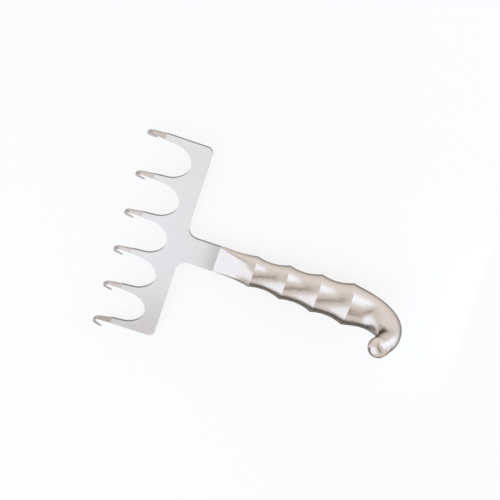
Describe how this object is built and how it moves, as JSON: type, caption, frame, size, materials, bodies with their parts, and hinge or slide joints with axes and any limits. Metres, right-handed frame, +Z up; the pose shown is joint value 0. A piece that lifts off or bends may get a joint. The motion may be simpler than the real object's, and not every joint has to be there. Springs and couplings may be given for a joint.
{
  "type": "handheld surgical retractor",
  "caption": "Wide rake retractor: a flat steel plate with curled prongs, and a hollow ridged handle with a hooked end.",
  "frame": {"origin": "on the ground, under the middle of the part's box as it lies on the ridges of its handle with the hooks up", "axes": "+X from the prongs to the handle's hooked end, +Y across the prongs, +Z up, the way the hooks curl"},
  "size_m": [0.2094, 0.158, 0.0686],
  "materials": {
    "blade_satin": "satin",
    "handle_polished": "polished"
  },
  "bodies": {
    "root": {"rake_blade": "blade_satin", "grip_handle": "handle_polished"}
  },
  "joints": []
}
